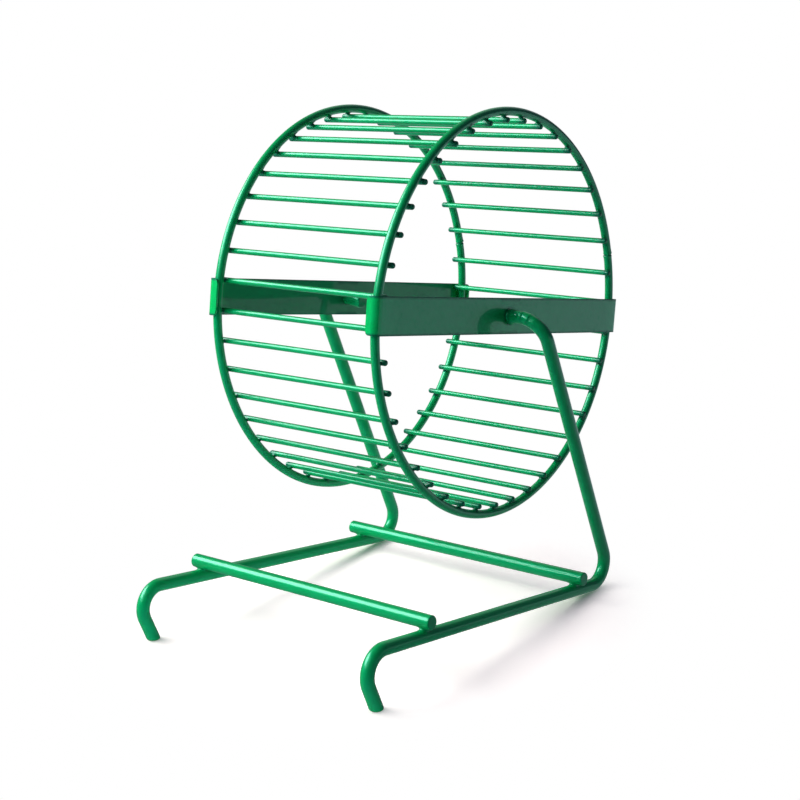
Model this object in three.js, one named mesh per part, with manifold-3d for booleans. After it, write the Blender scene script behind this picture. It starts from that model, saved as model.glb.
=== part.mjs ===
// Running wheel for a small rodent, made of painted steel wire. Two rings joined by forty rungs turn on the
// stub axles of a stand bent from two wires. Millimetres, +Z up, the axle along X, the feet towards -Y.
import * as THREE from "three";
import * as BufferGeometryUtils from "three/addons/utils/BufferGeometryUtils.js";
import Module from "manifold-3d";

const wasm = await Module();
wasm.setup();

// Wheel
const ringRadius = 60; // to the middle of the ring wire
const ringSpacing = 59.8; // between the middles of the two rings
const ringWire = 2.6;
const rungWire = 1.7;
const rungOverhang = 0.7; // past the outer side of each ring
const rungCount = 40;
const stripHeight = 10.8;
const stripThickness = 0.7;
const tabReach = 1.6; // of a strip's rolled end, past the middle of the ring wire

// The rungs are welded to straight wires that are then rolled into a hoop, so the pitch is wider at the seam
// and drifts a little on the way round. Degrees, from the top towards the front, with the strips level.
const fullAngle = 360;
const seamAngle = 288.1;
const seamGapAngle = 10.1;
const driftAngle = 2.4; // once round the wheel
const driftStartAngle = 6.8;
const flutterAngle = 0.9; // twice round the wheel
const flutterStartAngle = 65.2;
const restAngle = -9.5; // how the wheel stands at rest, about +X

// Stand
const standWire = 4;
const axleHeight = 92.8;
const footForward = 81.2; // foot tip, ahead of the axle
const frontBendForward = 78.2; // middle of the bend above the foot
const frontBendHeight = 9.9;
const frontBendRadius = 6.5;
const rearBendBehind = 27.3; // middle of the bend between rail and leg, behind the axle
const rearBendRadius = 6.8;
const topBendRadius = 8;
const stubRun = 0.95; // straight, between that bend and the squeezed wire beside the strip
const pinchWidth = 5.2; // where the wire is squeezed
const pinchLength = 2.2;
const stubReach = 4.2; // of the round stub, past the inner face of the strip
const tailLength = 2.2; // of the flattened end beyond it
const tailWidth = 5.2;
const tailThickness = 2.7;
const barWire = 4.2;
const frontBarForward = 60.1;
const frontBarOverhang = 2.75; // past the middle of each rail
const rearBarBehind = 15.8;
const rearBarOverhang = 3.85;

// Fits
const seatGap = 0.3; // between wires that are welded together
const axlePlay = 0.25; // round the stub in the strip's hole
const pinchPlay = 0.4; // between a strip and the pinched wire beside it
const cutOverrun = 5;

// Smoothness
const wireSides = 16;
const ringSides = 12;
const rungSides = 8;
const ringSteps = 80;
const foldSteps = 3; // half the steps round a strip's rolled end
const bendStepAngle = 9;

const paint = { color: 0x0f9350, roughness: 0.3, metalness: 0.35 };
const stripPaint = { color: 0x2f6a51, roughness: 0.4, metalness: 0.35 };

const rungRadius = ringRadius - ringWire / 2 - seatGap - rungWire / 2;
const ringFace = ringSpacing / 2 + ringWire / 2;
const stripInnerFace = ringFace + seatGap;
const stripOuterFace = stripInnerFace + stripThickness;
const pinchEnd = stripOuterFace + pinchPlay + pinchLength;
const frameSpacing = 2 * (pinchEnd + stubRun + topBendRadius); // between the middles of the side frames
const frontBarLength = frameSpacing + 2 * frontBarOverhang;
const rearBarLength = frameSpacing + 2 * rearBarOverhang;

function named(name, geometry, finish) {
  const mesh = new THREE.Mesh(geometry, new THREE.MeshStandardMaterial(finish));
  mesh.name = name;
  return mesh;
}

// Closed mesh to solid and back, for the cuts and joins
function solidOf(geometry) {
  const bare = geometry.clone();
  bare.deleteAttribute("normal");
  bare.deleteAttribute("uv");
  const merged = BufferGeometryUtils.mergeVertices(bare);
  const mesh = new wasm.Mesh({
    numProp: 3,
    vertProperties: merged.attributes.position.array,
    triVerts: Uint32Array.from(merged.index.array),
  });
  return new wasm.Manifold(mesh);
}

function geometryOf(solid) {
  const mesh = solid.getMesh();
  const geometry = new THREE.BufferGeometry();
  geometry.setAttribute("position", new THREE.BufferAttribute(mesh.vertProperties, 3));
  geometry.setIndex(new THREE.BufferAttribute(mesh.triVerts, 1));
  geometry.computeVertexNormals();
  return geometry;
}

// A bent wire's middle line, with a station at each end of a straight run and every few degrees of a bend
class WireRoute extends THREE.Curve {
  constructor(stations) {
    super();
    this.stations = stations;
  }

  station(share) {
    return this.stations[Math.round(share * (this.stations.length - 1))];
  }

  getPointAt(share, target = new THREE.Vector3()) {
    return target.copy(this.station(share).point);
  }

  getTangentAt(share, target = new THREE.Vector3()) {
    return target.copy(this.station(share).tangent);
  }
}

function wireAlong(stations, wire) {
  const section = new THREE.Shape();
  section.absarc(0, 0, wire / 2, 0, 2 * Math.PI);
  return new THREE.ExtrudeGeometry(section, {
    steps: stations.length - 1,
    curveSegments: wireSides / 2,
    extrudePath: new WireRoute(stations),
  });
}

// Stations round a bend from one heading to another, both at right angles to its axis
function bend(start, heading, axis, turn) {
  const count = Math.ceil(Math.abs(THREE.MathUtils.radToDeg(turn)) / bendStepAngle);
  return Array.from({ length: count + 1 }, (_, i) => {
    const angle = (turn * i) / count;
    return {
      point: start.point.clone().applyAxisAngle(axis, angle).add(start.centre),
      tangent: heading.clone().applyAxisAngle(axis, angle),
    };
  });
}

// Heading of the straight run between two bends in the plane of y and z. A bend to the left has a positive
// radius, and a plain point has none.
function runHeading(from, to) {
  const gap = Math.hypot(to.y - from.y, to.z - from.z);
  return Math.atan2(to.z - from.z, to.y - from.y) - Math.asin((to.radius - from.radius) / gap);
}

function direction(heading) {
  return new THREE.Vector3(0, Math.cos(heading), Math.sin(heading));
}

function bendAt(x, corner, before, after) {
  const heading = direction(before);
  const left = direction(before + Math.PI / 2);
  const start = {
    centre: new THREE.Vector3(x, corner.y, corner.z),
    point: left.multiplyScalar(-corner.radius),
  };
  return bend(start, heading, new THREE.Vector3(1, 0, 0), after - before);
}

const foot = { y: -footForward, z: 0, radius: 0 };
const frontBend = { y: -frontBendForward, z: frontBendHeight, radius: -frontBendRadius };
// The bottom of the rear bend stands on the floor
const rearBend = { y: rearBendBehind, z: rearBendRadius + standWire / 2, radius: rearBendRadius };
const axle = { y: 0, z: axleHeight, radius: 0 };
const footHeading = runHeading(foot, frontBend);
const railHeading = runHeading(frontBend, rearBend);
const legHeading = runHeading(rearBend, axle);

// One wire: foot, front bend, rail, rear bend, leg, and the bend into the stub that the wheel turns on
function sideFrameRoute(side) {
  const x = (side * frameSpacing) / 2;
  const up = direction(footHeading);
  const leg = direction(legHeading);
  const inward = new THREE.Vector3(-side, 0, 0);
  const tip = new THREE.Vector3(x, foot.y, foot.z).addScaledVector(up, -cutOverrun);
  const corner = new THREE.Vector3(x, axle.y, axle.z);
  const topStart = {
    centre: corner.clone().addScaledVector(leg, -topBendRadius).addScaledVector(inward, topBendRadius),
    point: inward.clone().multiplyScalar(-topBendRadius),
  };
  const topAxis = leg.clone().cross(inward);
  const end = corner.clone().setX(side * (stripInnerFace - stubReach));
  return [
    { point: tip, tangent: up },
    ...bendAt(x, frontBend, footHeading, railHeading),
    ...bendAt(x, rearBend, railHeading, legHeading),
    ...bend(topStart, leg, topAxis, Math.PI / 2),
    { point: end, tangent: inward },
  ];
}

// Squeezed stretch of the stub, as a round lump of a given half length along x, depth and height
function squeezed(x, halfLength, depth, height) {
  const lump = new THREE.SphereGeometry(1, ringSides, ringSides / 2);
  lump.scale(halfLength, depth / 2, height / 2);
  lump.translate(x, axle.y, axle.z);
  return solidOf(lump);
}

// The stub is squeezed outside the strip, and flattened the other way at its end, so the wheel stays on it
function sideFrame(side) {
  const pinchMiddle = pinchEnd - pinchLength / 2;
  const tailStart = stripInnerFace - stubReach;
  const under = new THREE.BoxGeometry(frameSpacing, 2 * footForward, 2 * cutOverrun);
  under.translate((side * frameSpacing) / 2, foot.y, -cutOverrun);
  return geometryOf(
    solidOf(wireAlong(sideFrameRoute(side), standWire))
      .add(squeezed(side * pinchMiddle, pinchLength / 2, standWire, pinchWidth))
      .add(squeezed(side * tailStart, tailLength, tailWidth, tailThickness))
      .subtract(solidOf(under)),
  );
}

// A crossbar lies across both rails, at a place given along y
function crossbar(name, length, y) {
  const bar = named(name, new THREE.CylinderGeometry(barWire / 2, barWire / 2, length, wireSides), paint);
  const rail = direction(railHeading);
  const above = direction(railHeading + Math.PI / 2);
  // The point of the rail's middle line at that place
  const start = new THREE.Vector3(0, frontBend.y, frontBend.z).addScaledVector(above, -frontBend.radius);
  const seat = start.addScaledVector(rail, (y - start.y) / rail.y);
  bar.rotation.z = Math.PI / 2;
  bar.position.copy(seat).addScaledVector(above, (standWire + barWire) / 2 + seatGap);
  return bar;
}

function ring(name, side) {
  const hoop = named(name, new THREE.TorusGeometry(ringRadius, ringWire / 2, ringSides, ringSteps), paint);
  hoop.rotation.y = Math.PI / 2;
  hoop.position.x = (side * ringSpacing) / 2;
  return hoop;
}

// A flat strip across the ring, with its ends rolled round the ring wire and a hole for the stub
function strip(name, side) {
  const middle = ringSpacing / 2;
  const inner = stripInnerFace - middle;
  const outer = stripOuterFace - middle;
  const outline = new THREE.Shape();
  outline.moveTo(-ringRadius, inner);
  outline.lineTo(ringRadius, inner);
  outline.absarc(ringRadius, 0, inner, Math.PI / 2, 0, true);
  outline.lineTo(ringRadius + inner, -tabReach);
  outline.lineTo(ringRadius + outer, -tabReach);
  outline.absarc(ringRadius, 0, outer, 0, Math.PI / 2, false);
  outline.lineTo(-ringRadius, outer);
  outline.absarc(-ringRadius, 0, outer, Math.PI / 2, Math.PI, false);
  outline.lineTo(-ringRadius - outer, -tabReach);
  outline.lineTo(-ringRadius - inner, -tabReach);
  outline.absarc(-ringRadius, 0, inner, Math.PI, Math.PI / 2, true);
  const sheet = new THREE.ExtrudeGeometry(outline, {
    depth: stripHeight,
    bevelEnabled: false,
    curveSegments: foldSteps,
  });
  sheet.translate(0, 0, -stripHeight / 2);
  const holeRadius = standWire / 2 + axlePlay;
  const drill = new THREE.CylinderGeometry(holeRadius, holeRadius, 2 * cutOverrun, wireSides);
  drill.translate(0, outer, 0);
  const plate = named(name, geometryOf(solidOf(sheet).subtract(solidOf(drill))), stripPaint);
  plate.rotation.z = (-side * Math.PI) / 2;
  plate.position.x = side * middle;
  return plate;
}

function rungTurn(index) {
  const pitch = (fullAngle - seamGapAngle) / (rungCount - 1);
  const even = seamAngle + seamGapAngle / 2 + index * pitch;
  const onceRound = driftAngle * Math.cos(THREE.MathUtils.degToRad(even + driftStartAngle));
  const twiceRound = flutterAngle * Math.cos(THREE.MathUtils.degToRad(2 * even + flutterStartAngle));
  return even + onceRound + twiceRound;
}

// A rung ends past both rings, or flush with them where a strip covers it
function rung(name, index) {
  const turn = THREE.MathUtils.degToRad(rungTurn(index));
  const y = -rungRadius * Math.sin(turn);
  const z = rungRadius * Math.cos(turn);
  const covered = Math.abs(z) < stripHeight / 2 + rungWire / 2 + seatGap;
  const length = 2 * (covered ? ringFace : ringFace + rungOverhang);
  const rod = named(name, new THREE.CylinderGeometry(rungWire / 2, rungWire / 2, length, rungSides), paint);
  rod.rotation.z = Math.PI / 2;
  rod.position.set(0, y, z);
  return rod;
}

const stand = new THREE.Group();
stand.add(
  named("side_frame_right", sideFrame(1), paint),
  named("side_frame_left", sideFrame(-1), paint),
  crossbar("crossbar_front", frontBarLength, -frontBarForward),
  crossbar("crossbar_rear", rearBarLength, rearBarBehind),
);

const wheel = new THREE.Group();
wheel.add(ring("ring_right", 1), ring("ring_left", -1), strip("strip_right", 1), strip("strip_left", -1));
for (let i = 0; i < rungCount; i += 1) {
  wheel.add(rung(`rung_${String(i + 1).padStart(2, "0")}`, i));
}
wheel.position.set(0, axle.y, axle.z);
wheel.rotation.x = THREE.MathUtils.degToRad(restAngle);

const group = new THREE.Group();
group.add(stand, wheel);

// The origin is on the floor, under the middle of the whole object
group.updateMatrixWorld(true);
const box = new THREE.Box3().setFromObject(group, true);
group.position.y = -(box.min.y + box.max.y) / 2;

export default group;
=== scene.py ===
# Running wheel for a small rodent: two painted wire hoops and forty rungs, turning on a stand of bent wire.
# Sizes are in millimetres unless a note says otherwise. The axle lies along X and the feet point to -Y.
import math
import bmesh
import bpy
import numpy as np
from mathutils import Matrix, Vector


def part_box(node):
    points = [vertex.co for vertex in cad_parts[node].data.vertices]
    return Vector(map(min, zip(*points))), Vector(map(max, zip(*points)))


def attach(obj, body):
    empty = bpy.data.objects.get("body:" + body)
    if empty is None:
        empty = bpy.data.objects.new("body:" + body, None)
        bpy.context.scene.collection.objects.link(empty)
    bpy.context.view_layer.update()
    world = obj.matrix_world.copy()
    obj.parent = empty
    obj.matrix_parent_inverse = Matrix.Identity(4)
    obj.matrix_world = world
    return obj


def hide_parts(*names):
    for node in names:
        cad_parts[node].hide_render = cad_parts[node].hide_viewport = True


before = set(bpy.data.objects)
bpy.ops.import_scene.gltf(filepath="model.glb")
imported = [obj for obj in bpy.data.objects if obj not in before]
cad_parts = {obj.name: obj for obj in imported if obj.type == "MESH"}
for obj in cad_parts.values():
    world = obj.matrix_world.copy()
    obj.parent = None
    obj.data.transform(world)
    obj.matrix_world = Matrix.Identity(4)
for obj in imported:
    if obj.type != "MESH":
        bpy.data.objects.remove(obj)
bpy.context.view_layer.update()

scene = bpy.context.scene
millimetre = 0.001
fullTurn = 360
quarter = math.pi / 2


def nodeBox(name):
    low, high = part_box(name)
    return np.array(low) / millimetre, np.array(high) / millimetre


def middleOf(name):
    low, high = nodeBox(name)
    return (low + high) / 2


axle = (middleOf("ring_right") + middleOf("ring_left")) / 2
axle[0] = 0
print("frame loaded, axle at", axle.round(2), "mm")


# Shader arithmetic
class Shade:  # one output socket, with the sums that the finishes need
    def __init__(self, finish, socket):
        self.finish = finish
        self.socket = socket

    def reckon(self, operation, first, second):
        return self.finish.node("ShaderNodeMath", {"operation": operation}, {0: first, 1: second})

    def __add__(self, other):
        return self.reckon("ADD", self, other)

    __radd__ = __add__

    def __mul__(self, other):
        return self.reckon("MULTIPLY", self, other)

    __rmul__ = __mul__

    def __sub__(self, other):
        return self.reckon("SUBTRACT", self, other)

    def __rsub__(self, other):
        return self.reckon("SUBTRACT", other, self)


class Finish:  # a material or world under construction
    def __init__(self, owner):
        owner.use_nodes = True
        owner.node_tree.nodes.clear()
        self.owner = owner
        self.tree = owner.node_tree

    def node(self, kind, settings=None, sockets=None, output=0):
        made = self.tree.nodes.new(kind)
        for key, value in (settings or {}).items():
            setattr(made, key, value)
        for key, value in (sockets or {}).items():
            if isinstance(value, Shade):
                self.tree.links.new(value.socket, made.inputs[key])
            else:
                made.inputs[key].default_value = value
        return Shade(self, made.outputs[output]) if len(made.outputs) else made

    def between(self, value, low, high):  # 0 below low, 1 above high, smooth in the middle
        return self.node("ShaderNodeMapRange", {"interpolation_type": "SMOOTHSTEP"},
                         {"Value": value, "From Min": low, "From Max": high})

    def blend(self, share, first, second):  # of two colours
        return self.node("ShaderNodeMix", {"data_type": "RGBA"}, {0: share, 6: first, 7: second}, 2)

    def vector(self, operation, first, second, output=0):
        return self.node("ShaderNodeVectorMath", {"operation": operation}, {0: first, 1: second}, output)

    def place(self):  # on the object itself, in metres
        return self.node("ShaderNodeTexCoord", output=3)

    def noise(self, size, detail, roughness):  # size of a patch in millimetres
        return self.node("ShaderNodeTexNoise", {}, {"Vector": self.place(), "Scale": 1 / (size * millimetre),
                                                    "Detail": detail, "Roughness": roughness})

    def pointValue(self, name):  # a value stored on the mesh's points
        return self.node("ShaderNodeAttribute", {"attribute_name": name}, output=2)

    def matt(self, colour):
        return self.node("ShaderNodeBsdfDiffuse", {}, {"Color": colour})

    def glowing(self, colour):
        return self.node("ShaderNodeEmission", {}, {"Color": colour, "Strength": 1.0})

    def both(self, first, second):  # two shaders added up
        return self.node("ShaderNodeAddShader", {}, {0: first, 1: second})

    def either(self, share, first, second):  # two shaders mixed
        return self.node("ShaderNodeMixShader", {}, {0: share, 1: first, 2: second})


# Finishes
wirePaint = dict(
    colour=(0.0, 0.358, 0.082, 1),
    thinColour=(0.0, 0.388, 0.092, 1),
    # darkColour serves real marks at welds, cut ends and the worn hole, and painted shade on the strips and the
    # rung ends
    darkColour=(0.003, 0.050, 0.028, 1),
    sheenTint=(0.0, 1.0, 0.72, 1),  # the gloss of the colour coat, under a thin clear one
    sheen=1.0,
    roughness=0.36,
    patchRough=0.02,
    speckRough=0.02,
    darkRough=0.3,
    coat=0.6,
    coatRoughness=0.065,
    coatEnds=(0.65, 1.0),  # the clear coat fades out between these dark values
    pitted=0.25,  # share of the clear coat that the pits lose
    patchNoise=(7, 3, 0.55),  # size, detail and roughness, here and below
    patchEdge=(0.35, 0.68),
    speckNoise=(0.5, 2, 0.6),
    speckEdge=(0.5, 0.7),
    peelNoise=(1.1, 1, 0.4),
    peelFineNoise=(0.275, 1, 0.5),
    peelFine=0.15,  # share of the finer ripple
    peelDepth=0.006,
    peelStrength=0.3,
)
stripPaint = dict(
    wirePaint,
    # Lighter than the same enamel on the wires: painted light on the rolled ends, with the flat faces darkened
    # again by painted shade.
    colour=(0.0, 0.52, 0.10, 1),
    thinColour=(0.0, 0.57, 0.12, 1),
    roughness=0.28,
    coat=0.75,
    coatRoughness=0.035,
    pitted=0.7,
    patchNoise=(4, 3, 0.55),
    speckNoise=(0.8, 2, 0.6),
    peelNoise=(1.6, 1, 0.4),
    peelFineNoise=(0.4, 1, 0.5),
    peelDepth=0.003,
)


def makePaint(name, values):
    finish = Finish(bpy.data.materials.new(name))
    patches = finish.between(finish.noise(*values["patchNoise"]), *values["patchEdge"])  # of thinner paint
    specks = finish.between(finish.noise(*values["speckNoise"]), *values["speckEdge"])  # small pits
    # the points' dark value: real marks at welds, cut ends and the worn hole, and painted shade on the strips
    # and the rung ends
    dark = finish.pointValue("dark")
    colour = finish.blend(patches, values["colour"], values["thinColour"])
    colour = finish.blend(dark, colour, values["darkColour"])
    rough = values["patchRough"] * patches + values["speckRough"] * specks + values["darkRough"] * dark
    coat = values["coat"] * (1 - values["pitted"] * specks)
    coat = coat * (1 - finish.between(dark, *values["coatEnds"]))
    peel = finish.noise(*values["peelNoise"])
    fine = finish.noise(*values["peelFineNoise"])
    bump = finish.node("ShaderNodeBump", {}, {
        "Height": peel + values["peelFine"] * fine,
        "Strength": values["peelStrength"],
        "Distance": values["peelDepth"] * millimetre,
    })
    shine = finish.node("ShaderNodeBsdfPrincipled", {}, {
        "Base Color": colour,
        "Roughness": values["roughness"] + rough,
        "Specular IOR Level": values["sheen"],
        "Specular Tint": values["sheenTint"],
        "Coat Weight": coat,
        "Coat Roughness": values["coatRoughness"],
        "Normal": bump,
    })
    finish.node("ShaderNodeOutputMaterial", {}, {"Surface": shine})
    return finish.owner


wireFinish = makePaint("green_wire_enamel", wirePaint)
stripFinish = makePaint("green_strip_enamel", stripPaint)
print("paints mixed")


# Mesh helpers
def addPiece(name, points, faces, dark, finish, body, nodes=()):
    mesh = bpy.data.meshes.new(name)
    mesh.from_pydata((np.asarray(points) * millimetre).tolist(), [], faces)
    work = bmesh.new()
    work.from_mesh(mesh)
    bmesh.ops.recalc_face_normals(work, faces=work.faces)
    work.to_mesh(mesh)
    work.free()
    mesh.attributes.new("dark", "FLOAT", "POINT").data.foreach_set("value", np.asarray(dark))
    mesh.shade_smooth()
    mesh.materials.append(finish)
    piece = bpy.data.objects.new(name, mesh)
    scene.collection.objects.link(piece)
    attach(piece, body)
    if nodes:
        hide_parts(*nodes)
    return piece


def skinOf(loops, closed=False):  # faces over loops of points, with flat caps unless it is a hoop
    sides = len(loops[0])
    count = len(loops)
    faces = []
    for i in range(count if closed else count - 1):
        a = i * sides
        b = (i + 1) % count * sides
        for k in range(sides):
            m = (k + 1) % sides
            faces.append((a + k, a + m, b + m, b + k))
    if not closed:
        faces.append(tuple(range(sides)))
        faces.append(tuple(range((count - 1) * sides, count * sides)))
    return np.concatenate(loops), faces


def roundAbout(sides):
    turn = np.arange(sides) * 2 * math.pi / sides
    return np.cos(turn)[:, None], np.sin(turn)[:, None]


def softCut(radius, bevel, steps=5):  # distance from the cut and radius, from the cut's face inwards
    rows = [(0, (radius - bevel) * share) for share in (0.5, 0.93)]
    for i in range(steps + 1):
        turn = quarter * i / steps
        rows.append((bevel * (1 - math.cos(turn)), radius - bevel * (1 - math.sin(turn))))
    return rows


def easeOf(share):  # 0 to 1, smooth at both ends
    share = min(1.0, max(0.0, float(share)))
    return share * share * (3 - 2 * share)


def rampOf(values):
    return np.clip(values, 0, 1)


def gathered(parts):  # several meshes as one
    points = []
    faces = []
    start = 0
    for partPoints, partFaces in parts:
        points.append(partPoints)
        faces += [tuple(i + start for i in face) for face in partFaces]
        start += len(partPoints)
    return np.concatenate(points), faces


# Two crossing wires melted together. The first runs along x above the joint, the second along y below it.
lump = dict(
    steps=60,  # of the search for its surface
    skew=0.12,
    ripple=0.025,
    rippleSize=2.2,
    sunk=0.015,  # under the wires' own surfaces
    least=0.05,
)


def meltedJoint(upper, lower, values, seed, short=None):
    ball = bmesh.new()
    bmesh.ops.create_icosphere(ball, subdivisions=values["grain"], radius=1)
    rays = np.array([v.co for v in ball.verts])
    faces = [tuple(v.index for v in f.verts) for f in ball.faces]
    ball.free()
    gap = values["gap"]
    melt = values["melt"]
    reach = values["reach"]
    random = np.random.default_rng(seed)
    skew = random.uniform(-lump["skew"], lump["skew"], 3)
    wobble = random.uniform(-1, 1, (3, 3)) * lump["rippleSize"]

    def depthOf(p):
        away = (p ** 2).sum(1)
        q = p + skew * np.exp(-away)[:, None]
        up = np.hypot(q[:, 1], q[:, 2] - upper - gap / 2) - upper
        down = np.hypot(q[:, 0], q[:, 2] + lower + gap / 2) - lower
        share = rampOf(0.5 + 0.5 * (up - down) / melt)
        joined = up * (1 - share) + down * share - melt * share * (1 - share)
        return joined + lump["sunk"] + lump["ripple"] * np.sin(p @ wobble).sum(1) * np.exp(-away / reach)

    far = np.zeros(len(rays))
    inside = np.ones(len(rays), bool)
    step = reach / lump["steps"]
    for _ in range(lump["steps"]):
        inside &= depthOf(rays * (far + step)[:, None]) < 0
        inside &= abs(rays[:, 0]) * (far + step) < (short or reach)
        far[inside] += step
    far = np.maximum(far, lump["least"])
    return rays * far[:, None], faces


# Hoops
hoop = dict(
    wire=2.6,
    sides=28,
    stepTurn=1.5,  # degrees between the loops of points
    seamReach=3.0,  # along the wire, with finer steps about the butt weld
    seamStep=0.1,
    seamClear=4,  # degrees from the weld to the first of the other loops
    collar=0.13,
    collarWide=0.8,
    notch=0.3,
    notchWide=0.2,
    stagger=0.12,  # the two ends don't quite meet
    staggerWide=1.5,
    seamDark=0.75,
    seamDarkWide=0.25,
    waves=((0.09, 2, 0.7), (0.05, 5, 0.0)),  # out of round by this much, so many times round, from there
    wobble=(0.05, 3),  # and out of plane
)


def turnOf(place):  # degrees from the top towards the front
    return math.degrees(math.atan2(-(place[1] - axle[1]), place[2] - axle[2])) % fullTurn


rungNames = sorted(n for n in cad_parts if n.startswith("rung_"))
rungPlaces = {n: middleOf(n) for n in rungNames}
firstTurn = turnOf(rungPlaces[rungNames[0]])
lastTurn = turnOf(rungPlaces[rungNames[-1]])
seamTurn = lastTurn + ((firstTurn - lastTurn) % fullTurn) / 2  # the weld is in the middle of the widest gap


def bellOf(along, wide):
    return math.exp(-(along / wide) ** 2)


def hoopPoints(x, radius, values):
    reach = values["seamReach"]
    clear = values["seamClear"]
    seam = math.radians(seamTurn)
    fine = np.arange(-reach, reach + 0.01, values["seamStep"]) / radius
    coarse = np.radians(np.arange(clear, fullTurn - clear + 0.1, values["stepTurn"]))
    cosines, sines = roundAbout(values["sides"])
    loops = []
    dark = []
    for turn in np.concatenate([fine, coarse]) + seam:
        along = ((turn - seam + math.pi) % (2 * math.pi) - math.pi) * radius
        thick = values["wire"] / 2
        thick += values["collar"] * bellOf(along, values["collarWide"])
        thick -= values["notch"] * bellOf(along, values["notchWide"])
        shift = values["stagger"] * math.tanh(along / values["notchWide"])
        shift *= bellOf(along, values["staggerWide"])
        wander = sum(height * math.sin(count * turn + start) for height, count, start in values["waves"])
        height, count = values["wobble"]
        out = np.array([0, -math.sin(turn), math.cos(turn)])
        centre = axle + out * (radius + shift + wander)
        centre[0] = x + height * math.sin(count * turn + x)
        loops.append(centre + thick * (cosines * out + sines * np.array([1, 0, 0])))
        dark += [values["seamDark"] * bellOf(along, values["seamDarkWide"])] * values["sides"]
    points, faces = skinOf(loops, closed=True)
    return points, faces, dark


low, high = nodeBox("ring_right")
hoopRadius = (high[2] - low[2]) / 2 - hoop["wire"] / 2
hoopX = abs(middleOf("ring_right")[0])
for side in ("right", "left"):
    points, faces, dark = hoopPoints(middleOf("ring_" + side)[0], hoopRadius, hoop)
    addPiece("hoop_" + side, points, faces, dark, wireFinish, "wheel", ["ring_" + side])
print("hoops rolled, radius", round(hoopRadius, 2), "mm")


# Rungs
rungWire = dict(
    wire=1.7,
    sides=20,
    dome=0.75,  # rounding of the cut ends, as a share of the radius
    domeSteps=6,
    plainFrom=1.2,  # from the ends
    plainSteps=25,
    bow=0.12,
    uneven=0.18,  # in the length of the ends that no strip covers
    bareFrom=0.3,  # such a rung reaches further than this past its hoops
    # Painted shade: the rung ends past the hoops darken, standing for the dark surroundings that they mirror.
    tipPaintedShade=0.75,
    tipShadeFrom=0.9,  # inside the middle of the hoop
    tipShadeOver=1.4,
    seed=7,
)


def rungPoints(name, values, random):
    place = rungPlaces[name]
    half = nodeBox(name)[1][0]
    radius = values["wire"] / 2
    ends = [-half, half]
    if half > hoopX + hoop["wire"] / 2 + values["bareFrom"]:
        ends = [-half + random.uniform(0, values["uneven"]), half - random.uniform(0, values["uneven"])]
    lean = random.uniform(0, 2 * math.pi)
    bow = random.uniform(0, values["bow"])
    dome = softCut(radius, values["dome"] * radius, values["domeSteps"])
    plain = np.linspace(ends[0] + values["plainFrom"], ends[1] - values["plainFrom"], values["plainSteps"])
    stations = [(ends[0] + d, r) for d, r in dome]
    stations += [(x, radius) for x in plain]
    stations += [(ends[1] - d, r) for d, r in reversed(dome)]
    cosines, sines = roundAbout(values["sides"])
    loops = []
    dark = []
    for x, thick in stations:
        sag = bow * (1 - (x / half) ** 2)
        centre = np.array([x, place[1] + sag * math.cos(lean), place[2] + sag * math.sin(lean)])
        loops.append(centre + thick * (cosines * np.array([0, 1, 0]) + sines * np.array([0, 0, 1])))
        # painted shade towards the rung ends
        past = (abs(x) - hoopX + values["tipShadeFrom"]) / values["tipShadeOver"]
        dark += [values["tipPaintedShade"] * min(1, max(0, past))] * values["sides"]
    points, faces = skinOf(loops)
    return points, faces, dark


random = np.random.default_rng(rungWire["seed"])
for name in rungNames:
    points, faces, dark = rungPoints(name, rungWire, random)
    addPiece(name + "_wire", points, faces, dark, wireFinish, "wheel", [name])
print(len(rungNames), "rungs cut")


# Welds of rungs to hoops. The upper wire of each joint is the hoop, which runs along the joint's x.
spotWeld = dict(gap=0.3, melt=1.0, reach=1.9, grain=3, dark=0.7, kinds=8)


def weldsOf(x):
    parts = []
    for index, name in enumerate(rungNames):
        out = rungPlaces[name] - axle
        out[0] = 0
        distance = float(np.linalg.norm(out))
        out /= distance
        along = np.cross([1, 0, 0], out)
        rungRadius = rungWire["wire"] / 2
        local, faces = meltedJoint(hoop["wire"] / 2, rungRadius, spotWeld, index % spotWeld["kinds"])
        contact = distance + rungRadius + spotWeld["gap"] / 2
        base = axle + out * contact + np.array([x, 0, 0])
        points = base + local[:, :1] * along + local[:, 1:2] * np.array([1, 0, 0]) + local[:, 2:] * out
        parts.append((points, faces))
    return gathered(parts)


for side, x in (("right", hoopX), ("left", -hoopX)):
    points, faces = weldsOf(x)
    addPiece("welds_" + side, points, faces, np.full(len(points), spotWeld["dark"]), wireFinish, "wheel")
print("rungs welded to hoops")


# Strips across the hoops, each with its ends rolled round the hoop wire
strip = dict(
    height=10.8,
    thickness=0.7,
    foldRadius=1.95,
    foldSteps=8,
    tabFrom=0.3,
    tabReach=1.6,
    tabSteps=5,
    flatSteps=34,
    levels=(-1, -0.94, -0.84, -0.67, -0.5, -0.33, -0.17, 0, 0.17, 0.33, 0.5, 0.67, 0.84, 0.94, 1),
    corner=1.3,
    hole=2.06,
    holeRings=(0, 0.12, 0.35, 0.65, 0.94, 1),  # from the hole's edge to the square round it
    rim=0.28,
    rimSegments=3,
    rimAngle=50,
    waveDepth=0.07,
    waveSize=(17, 9),
    waveFade=(2, 20),  # from the ends, and over this length
    # Painted shade on the sheets' flat faces away from the rolled ends, light on the near strip and deep on the
    # far one.
    flatPaintedShade={1: 0.2, -1: 0.70},  # of the near and the far strip
    flatShadeFade=(1.5, 4),
    # Painted shade along the long edges, standing for the dark sky that they mirror.
    rimPaintedShade=0.95,
    rimShadeFade=(0.6, 0.35),  # from the long edges
    holeDark=0.8,
    holeReach=3.2,
)


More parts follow.
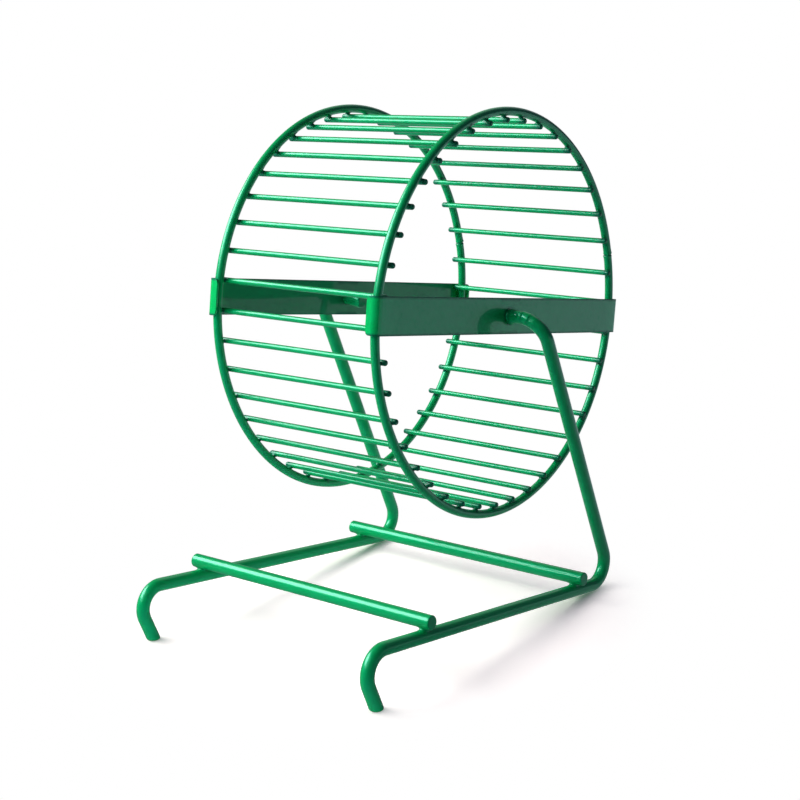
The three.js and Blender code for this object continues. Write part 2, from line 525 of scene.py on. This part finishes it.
# Middle line of the sheet from the hole outwards, as (along, out, length so far)
def stripProfile(values, half):
    tall = values["height"] / 2
    fold = values["foldRadius"]
    line = [(s, fold) for s in np.linspace(tall, half, values["flatSteps"])]
    for i in range(1, values["foldSteps"] + 1):
        turn = quarter * i / values["foldSteps"]
        line.append((half + fold * math.sin(turn), fold * math.cos(turn)))
    tabs = np.linspace(values["tabFrom"], values["tabReach"], values["tabSteps"])
    line += [(half + fold, -reach) for reach in tabs]
    length = [tall]
    for a, b in zip(line, line[1:]):
        length.append(length[-1] + math.dist(a, b))
    return [(a, o, s) for (a, o), s in zip(line, length)]


def stripGrid(values, half):  # points (along, up, out) and faces of the middle of the sheet
    profile = stripProfile(values, half)
    total = profile[-1][2]
    levels = values["levels"]
    corner = values["corner"]
    rows = len(levels) - 1
    tall = values["height"] / 2
    points = []
    faces = []
    index = {}

    def point(along, up, out):
        key = (round(along, 4), round(up, 4), round(out, 4))
        if key not in index:
            index[key] = len(points)
            points.append((along, up, out))
        return index[key]

    for end in (-1, 1):
        columns = []
        for along, out, length in profile:
            high = tall
            over = length - (total - corner)
            if over > 0:
                high = tall - corner + math.sqrt(max(corner ** 2 - over ** 2, 0))
            columns.append([point(end * along, high * level, out) for level in levels])
        for a, b in zip(columns, columns[1:]):
            for k in range(rows):
                faces.append((a[k], b[k], b[k + 1], a[k + 1]))
    # The square round the hole, once round
    heights = [tall * level for level in levels[:-1]]
    edge = [(tall, h) for h in heights] + [(-h, tall) for h in heights]
    edge += [(-tall, -h) for h in heights] + [(h, -tall) for h in heights]
    rings = []
    for share in values["holeRings"]:
        ring = []
        for along, up in edge:
            near = values["hole"] / math.hypot(along, up)
            scale = near + (1 - near) * share
            ring.append(point(along * scale, up * scale, values["foldRadius"]))
        rings.append(ring)
    for a, b in zip(rings, rings[1:]):
        for k in range(len(a)):
            m = (k + 1) % len(a)
            faces.append((a[k], a[m], b[m], b[k]))
    return np.array(points), faces


def stripHeading(name):  # direction along a strip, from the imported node's own points
    co = np.array([v.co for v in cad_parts[name].data.vertices]) / millimetre - axle
    co[:, 0] = 0
    along = np.linalg.eigh(co.T @ co)[1][:, -1]
    return along * math.copysign(1, along[1])


def stripPoints(name, side, values):
    along = stripHeading(name)
    out = np.array([side, 0.0, 0.0])
    up = np.array([0.0, -along[2], along[1]])
    flat, faces = stripGrid(values, hoopRadius)
    fromEnd = hoopRadius - abs(flat[:, 0])
    start, over = values["waveFade"]
    long, short = values["waveSize"]
    wave = values["waveDepth"] * np.sin(flat[:, 0] / long + side) * np.sin(flat[:, 1] / short + 0.6)
    wave *= rampOf((fromEnd - start) / over)
    base = axle + side * np.array([hoopX, 0, 0])
    points = base + flat[:, :1] * along + flat[:, 1:2] * up + (flat[:, 2] + wave)[:, None] * out
    # painted shade along the long edges
    start, over = values["rimShadeFade"]
    rimShade = rampOf((abs(flat[:, 1]) - values["height"] / 2 + start) / over)
    worn = rampOf(values["holeReach"] - np.hypot(flat[:, 0], flat[:, 1]))
    # painted shade on the flat face, deeper on the far strip
    start, over = values["flatShadeFade"]
    middle = values["flatPaintedShade"][side] * rampOf((fromEnd - start) / over)
    dark = np.maximum(middle, np.maximum(values["rimPaintedShade"] * rimShade, values["holeDark"] * worn))
    return points, faces, dark


for name, side in (("strip_right", 1), ("strip_left", -1)):
    points, faces, dark = stripPoints(name, side, strip)
    piece = addPiece(name + "_sheet", points, faces, dark, stripFinish, "wheel", [name])
    thick = piece.modifiers.new("sheet", "SOLIDIFY")
    thick.thickness = strip["thickness"] * millimetre
    thick.offset = 0
    thick.use_even_offset = True
    rim = piece.modifiers.new("rim", "BEVEL")
    rim.width = strip["rim"] * millimetre
    rim.segments = strip["rimSegments"]
    rim.limit_method = "ANGLE"
    rim.angle_limit = math.radians(strip["rimAngle"])
print("strips folded")


# Stand: each side is one wire from foot to stub
standWire = dict(
    wire=4.0,
    sides=36,
    middleX=43.75,
    footForward=81.2,
    footBevel=0.8,
    footClear=1.6,  # the wire's own loops start above this height
    footStep=0.8,
    footDark=0.35,
    frontBend=(-78.2, 9.9, -6.5),  # y from the axle, z, and radius of the bend, positive to the left
    rearBend=(27.3, 8.8, 6.8),
    bendStep=3,  # degrees
    runStep=2.5,
    topBend=8.0,
    topSteps=60,
    stubEnd=25.15,
    stubStep=0.25,
    stubRound=1.2,  # the last stretch, with the rounded cut
    stubBevel=0.2,  # share of the radius
    stubBevelSteps=6,
    stubDark=0.5,
    pinchFrom=34.6,  # the squeeze grows from here to its lip beside the strip
    pinchLip=33.1,
    pinchEnd=32.5,
    pinchFade=0.3,
    pinchTall=1.2,
    pinchThin=0.94,
    pinchDrop=0.2,
    pinchDark=0.15,
    lipFrom=33.3,  # finer steps over the lip
    lipTo=32.2,
    lipStep=0.06,
    tailX=31.0,
    tailGrow=2.6,  # the flattened end grows over this length
    tailLong=5.8,
    tailTall=0.95,
    tailWide=1.15,
    tailDroop=0.9,
    tailGroove=0.36,
    grooveWide=0.42,
    jawDepth=0.2,  # marks that the bending jaw left on the front of the bend, as a share of the radius
    jawStep=2.15,
    jawSlope=0.88,  # share of each mark that slopes; the rest is its step
    jawMiddle=0.6,
    jawWide=0.45,
    jawFacing=(0.0, -0.84, 0.54),
    jawFrom=-0.7,  # along the wire from the start of the stub, down towards the leg
    jawTo=5.75,
)


def headingOf(a, b):
    gap = math.hypot(b[0] - a[0], b[1] - a[1])
    return math.atan2(b[1] - a[1], b[0] - a[0]) - math.asin((b[2] - a[2]) / gap)


def arcOf(corner, start, end, stepTurn):  # (y, z, heading) round a bend
    y, z, radius = corner
    count = math.ceil(abs(math.degrees(end - start)) / stepTurn)
    rows = []
    for i in range(count + 1):
        heading = start + (end - start) * i / count
        rows.append((y + radius * math.sin(heading), z - radius * math.cos(heading), heading))
    return rows


def runOf(first, last, step):  # points strictly between two stations of a straight run
    length = math.dist(first[:2], last[:2])
    count = max(2, math.ceil(length / step))
    return [tuple(f + (g - f) * i / count for f, g in zip(first, last)) for i in range(1, count)]


def sideRoute(values):  # (y, z, heading) from the foot to where the top bend starts
    foot = (-values["footForward"], 0, 0)
    top = (0, axle[2], 0)
    footHeading = headingOf(foot, values["frontBend"])
    railHeading = headingOf(values["frontBend"], values["rearBend"])
    legHeading = headingOf(values["rearBend"], top)
    front = arcOf(values["frontBend"], footHeading, railHeading, values["bendStep"])
    rear = arcOf(values["rearBend"], railHeading, legHeading, values["bendStep"])
    bendY = top[0] - values["topBend"] * math.cos(legHeading)
    bendZ = top[1] - values["topBend"] * math.sin(legHeading)
    rows = [(foot[0], foot[1], footHeading)]
    rows += runOf(rows[-1], front[0], values["footStep"]) + front
    rows += runOf(front[-1], rear[0], values["runStep"]) + rear
    rows += runOf(rear[-1], (bendY, bendZ, legHeading), values["runStep"])
    return rows + [(bendY, bendZ, legHeading)]


def jawMarks(facing, along, values):  # how far out the wire's surface is there, as a share of its radius
    near = (facing * np.array(values["jawFacing"])).sum(1)[:, None]
    share = easeOf(along - values["jawFrom"]) * easeOf(values["jawTo"] - along)
    tooth = (along - values["jawFrom"]) / values["jawStep"] % 1
    slope = values["jawSlope"]
    rise = min(tooth / slope, (1 - tooth) / (1 - slope)) - values["jawMiddle"]
    return 1 + values["jawDepth"] * share * rise * np.exp(-2 * (1 - near) / values["jawWide"])


def footLoops(side, start, across, along, values):  # the foot, cut flat where it stands
    cosines, sines = roundAbout(values["sides"])
    loops = []
    dark = []
    for lift, thick in softCut(values["wire"] / 2, values["footBevel"]):
        centre = np.array([side * values["middleX"], start[0] + axle[1], start[1]]) + along * lift / along[2]
        loop = centre + thick * (cosines * np.array([side, 0.0, 0.0]) + sines * across)
        loop += ((lift - loop[:, 2]) / along[2])[:, None] * along
        loops.append(loop)
        dark += [values["footDark"] if lift < 0.1 else 0.0] * values["sides"]
    return loops, dark


def stubStations(start, radius, values):  # x and share of the radius
    step = values["stubStep"]
    xs = list(np.arange(start - step, values["lipFrom"], -step))
    xs += list(np.arange(values["lipFrom"], values["lipTo"], -values["lipStep"]))
    xs += list(np.arange(values["lipTo"], values["stubEnd"] + values["stubRound"], -step))
    ends = reversed(softCut(1.0, values["stubBevel"], values["stubBevelSteps"]))
    return [(x, 1.0) for x in xs] + [(values["stubEnd"] + d * radius, r) for d, r in ends]


def stubLoops(side, start, leg, across, values):  # squeezed beside the strip and flattened at its end
    radius = values["wire"] / 2
    cosines, sines = roundAbout(values["sides"])
    facing = cosines * leg + sines * across
    groove = np.exp(-(facing[:, 2:] / values["grooveWide"]) ** 2)
    groove *= facing[:, 1:2] < 0  # on the foot's side alone
    loops = []
    dark = []
    for x, share in stubStations(start, radius, values):
        pinch = easeOf((values["pinchFrom"] - x) / (values["pinchFrom"] - values["pinchLip"]))
        pinch *= easeOf((x - values["pinchEnd"] + values["pinchFade"] / 2) / values["pinchFade"])
        flat = easeOf((values["tailX"] - x) / values["tailGrow"])
        tall = 1 + (values["pinchTall"] - 1) * pinch + (values["tailTall"] - 1) * flat
        wide = 1 + (values["pinchThin"] - 1) * pinch + (values["tailWide"] - 1) * flat
        offset = radius * share * facing * (1 - values["tailGroove"] * flat * groove)
        offset *= jawMarks(facing, x - start, values)
        offset[:, 1] *= wide
        offset[:, 2] *= tall
        drop = values["tailDroop"] * flat * (values["tailX"] - x) / values["tailLong"]
        drop += values["pinchDrop"] * pinch
        loops.append(np.array([side * x, axle[1], axle[2] - drop]) + offset)
        end = values["stubDark"] if share < 0.95 else 0.0
        dark += [end + values["pinchDark"] * pinch] * values["sides"]
    return loops, dark


def sidePoints(side, values):
    radius = values["wire"] / 2
    cosines, sines = roundAbout(values["sides"])
    outward = np.array([side, 0.0, 0.0])
    rows = sideRoute(values)
    heading = rows[0][2]
    along = np.array([0, math.cos(heading), math.sin(heading)])
    loops, dark = footLoops(side, rows[0], np.cross(along, outward), along, values)
    for y, z, heading in rows[1:]:
        if z < values["footClear"] and y < 0:
            continue
        along = np.array([0, math.cos(heading), math.sin(heading)])
        across = np.cross(along, outward)
        centre = np.array([side * values["middleX"], y + axle[1], z])
        loops.append(centre + radius * (cosines * outward + sines * across))
        dark += [0.0] * values["sides"]
    # The bend from the leg into the stub
    middle = centre - outward * values["topBend"]
    for i in range(1, values["topSteps"] + 1):
        turn = quarter * i / values["topSteps"]
        radial = outward * math.cos(turn) + along * math.sin(turn)
        facing = cosines * radial + sines * across
        marks = jawMarks(facing, values["topBend"] * (quarter - turn), values)
        centre = middle + values["topBend"] * radial
        loops.append(centre + radius * facing * marks)
        dark += [0.0] * values["sides"]
    moreLoops, moreDark = stubLoops(side, abs(centre[0]), along, across, values)
    points, faces = skinOf(loops + moreLoops)
    return points, faces, dark + moreDark


for name, side in (("side_frame_right", 1), ("side_frame_left", -1)):
    points, faces, dark = sidePoints(side, standWire)
    addPiece(name + "_wire", points, faces, dark, wireFinish, "stand", [name])
print("side wires bent")


# Crossbars and their welds. The upper wire of each joint is the bar.
crossbar = dict(
    wire=4.2,
    sides=36,
    bevel=0.4,
    steps=40,
    slant=0.10,  # sheared, so not quite square
    slantFrom=1,  # from the ends
    endDark=0.1,
    gap=0.3,
    melt=1.5,
    reach=3.4,
    grain=4,
    weldShort=0.45,  # of the bar's end
    weldSeed=3,
    weldDark=0.12,
)


def barPoints(name, values):
    place = middleOf(name)
    half = nodeBox(name)[1][0]
    radius = values["wire"] / 2
    start = values["slantFrom"]
    cosines, sines = roundAbout(values["sides"])
    cut = softCut(radius, values["bevel"])
    stations = [(-half + d, r) for d, r in cut]
    stations += [(x, radius) for x in np.linspace(-half + start, half - start, values["steps"])]
    stations += [(half - d, r) for d, r in reversed(cut)]
    loops = []
    dark = []
    for x, thick in stations:
        centre = np.array([x, place[1], place[2]])
        slant = values["slant"] * sines * max(0, abs(x) - half + start) * math.copysign(1, x)
        loop = centre + thick * (cosines * np.array([0, 1, 0]) + sines * np.array([0, 0, 1]))
        loops.append(loop - slant * np.array([1, 0, 0]))
        dark += [values["endDark"] if abs(x) > half - 0.05 else 0.0] * values["sides"]
    points, faces = skinOf(loops)
    return points, faces, dark


def barWelds(name, values):
    heading = headingOf(standWire["frontBend"], standWire["rearBend"])
    railAlong = np.array([0, math.cos(heading), math.sin(heading)])
    railUp = np.array([0, -math.sin(heading), math.cos(heading)])
    barAlong = np.array([1, 0, 0])
    upper = values["wire"] / 2
    short = nodeBox(name)[1][0] - standWire["middleX"] - values["weldShort"]
    parts = []
    for side in (1, -1):
        local, faces = meltedJoint(upper, standWire["wire"] / 2, values, values["weldSeed"] + side, short)
        base = middleOf(name) - railUp * (upper + values["gap"] / 2)
        base = base + np.array([side * standWire["middleX"], 0, 0])
        points = base + local[:, :1] * barAlong + local[:, 1:2] * railAlong + local[:, 2:] * railUp
        parts.append((points, faces))
    return gathered(parts)


for name in ("crossbar_front", "crossbar_rear"):
    points, faces, dark = barPoints(name, crossbar)
    addPiece(name + "_wire", points, faces, dark, wireFinish, "stand", [name])
    points, faces = barWelds(name, crossbar)
    addPiece(name + "_welds", points, faces, np.full(len(points), crossbar["weldDark"]), wireFinish, "stand")
print("crossbars welded on")


# Floor, sky, lamps and camera
studio = dict(
    floorSize=24.0,  # metres, as are the other lengths here unless a note says otherwise
    floorColour=(0.70, 0.85, 1.0, 1),  # on the lamps' side, a table lit from within
    floorGlow=(0.36, 0.43, 0.52, 1),
    # Painted shade: the table is darker on the far side, so less light bounces onto the part's far faces.
    farShadeColour=(0.10, 0.12, 0.15, 1),  # on the other side
    farWay=(1, 0.2, 0),  # towards that side
    farEdge=(0.015, 0.095),
    glossColour=(0.09, 0.11, 0.15, 1),  # the floor in front of the part, in the part's gloss
    behindColour=(0.50, 0.63, 0.65, 1),  # and the floor behind it
    behindWay=(0.2, 0.98, 0),
    behindEdge=(-0.04, 0.16),
    seenColour=(1.0, 0.95, 0.88, 1),  # the floor as the camera sees it near the part, with its shadow
    seenGlow=(0.465, 0.417, 0.445, 1),
    seenShift=(0, 0.012, 0),
    seenShape=(16, 14, 0),  # one over the half width and half depth of that patch
    seenEdge=(0.92, 1.3),  # beyond it the floor is plain white
    contact=(5, 7),  # how near a wire darkens the floor under it, in millimetres
    contactSamples=8,
    skyColour=(0.034, 0.036, 0.075, 1),
    skyInGloss=(0.060, 0.062, 0.105, 1),
    white=(1, 1, 1, 1),
    aim=(0, 0, 0.08),
    lamps={  # azimuth from -Y towards +X and elevation in degrees, away, wide, tall, brightness
        "lamp_key": (-54, 36, 0.7, 0.62, 0.38, 8.0),
        "lamp_fill": (-25, 43, 1.0, 1.3, 0.75, 0.95),
        "lamp_front": (-15, 25, 0.9, 0.32, 0.25, 2.2),
        "lamp_rear": (-158, 32, 1.35, 0.95, 1.0, 0.42),
    },
)


def cameraAndGloss(finish):  # 1 for rays from the camera, and 1 for rays mirrored by the part
    return finish.node("ShaderNodeLightPath", output=0), finish.node("ShaderNodeLightPath", output=3)


def shadowedFloor(finish, values):  # what the camera sees
    shaped = finish.vector("MULTIPLY", finish.vector("ADD", finish.place(), values["seenShift"]),
                           values["seenShape"])
    away = finish.node("ShaderNodeVectorMath", {"operation": "LENGTH"}, {0: shaped}, 1)
    glow = values["seenGlow"]
    for reach in values["contact"]:
        glow = finish.node("ShaderNodeAmbientOcclusion", {"samples": values["contactSamples"]},
                           {"Color": glow, "Distance": reach * millimetre})
    near = finish.both(finish.matt(values["seenColour"]), finish.glowing(glow))
    return finish.either(finish.between(away, *values["seenEdge"]), near, finish.glowing(values["white"]))


def makeFloor(values):
    finish = Finish(bpy.data.materials.new("studio_floor"))
    camera, glossy = cameraAndGloss(finish)
    across = finish.vector("DOT_PRODUCT", finish.place(), values["farWay"], 1)
    lit = finish.both(finish.matt(values["floorColour"]), finish.glowing(values["floorGlow"]))
    table = finish.either(finish.between(across, *values["farEdge"]), lit, finish.matt(values["farShadeColour"]))
    depth = finish.vector("DOT_PRODUCT", finish.place(), values["behindWay"], 1)
    behind = finish.between(depth, *values["behindEdge"])
    mirrored = finish.either(behind, finish.matt(values["glossColour"]), finish.glowing(values["behindColour"]))
    felt = finish.either(glossy, table, mirrored)
    surface = finish.either(camera, felt, shadowedFloor(finish, values))
    finish.node("ShaderNodeOutputMaterial", {}, {"Surface": surface})
    mesh = bpy.data.meshes.new("studio_floor")
    half = values["floorSize"] / 2
    corners = [(-half, -half, 0), (half, -half, 0), (half, half, 0), (-half, half, 0)]
    mesh.from_pydata(corners, [], [(0, 1, 2, 3)])
    mesh.materials.append(finish.owner)
    floor = bpy.data.objects.new("studio_floor", mesh)
    scene.collection.objects.link(floor)


def makeSky(values):
    scene.world = bpy.data.worlds.new("studio_sky")
    finish = Finish(scene.world)
    camera, glossy = cameraAndGloss(finish)
    colour = finish.blend(glossy, values["skyColour"], values["skyInGloss"])
    colour = finish.blend(camera, colour, values["white"])
    sky = finish.node("ShaderNodeBackground", {}, {"Color": colour, "Strength": 1.0})
    finish.node("ShaderNodeOutputWorld", {}, {"Surface": sky})


def towards(azimuth, elevation):  # from the part, in degrees
    a = math.radians(azimuth)
    e = math.radians(elevation)
    return Vector((math.sin(a) * math.cos(e), -math.cos(a) * math.cos(e), math.sin(e)))


def makeLamps(values):
    for name, (azimuth, elevation, away, wide, tall, level) in values["lamps"].items():
        toward = towards(azimuth, elevation)
        light = bpy.data.lights.new(name, "AREA")
        light.shape = "RECTANGLE"
        light.size = wide
        light.size_y = tall
        light.energy = level * math.pi * wide * tall
        lamp = bpy.data.objects.new(name, light)
        lamp.location = Vector(values["aim"]) + toward * away
        lamp.rotation_mode = "QUATERNION"
        lamp.rotation_quaternion = (-toward).to_track_quat("-Z", "Y")
        scene.collection.objects.link(lamp)


# The photograph's camera. Its place is measured from the axle's middle, its focal length in pixels.
view = dict(azimuth=39.205, elevation=13.828, roll=-1.914, focal=1587.697, distance=492.385, across=-7.504,
            upward=-28.994, picture=800, sensor=36)


def makeCamera(values):
    a = math.radians(values["azimuth"])
    r = math.radians(values["roll"])
    back = towards(values["azimuth"], values["elevation"])
    level = Vector((math.cos(a), math.sin(a), 0))
    upright = back.cross(level)
    right = math.cos(r) * level + math.sin(r) * upright
    up = -math.sin(r) * level + math.cos(r) * upright
    place = Vector(axle) + values["across"] * right + values["upward"] * up + values["distance"] * back
    data = bpy.data.cameras.new("camera")
    data.sensor_width = values["sensor"]
    data.lens = values["focal"] * values["sensor"] / values["picture"]
    camera = bpy.data.objects.new("camera", data)
    turned = Matrix((right, up, back)).transposed().to_4x4()
    camera.matrix_world = Matrix.Translation(place * millimetre) @ turned
    scene.collection.objects.link(camera)
    scene.camera = camera


makeFloor(studio)
makeSky(studio)
makeLamps(studio)
makeCamera(view)
scene.view_settings.view_transform = "Standard"
print("studio lit")
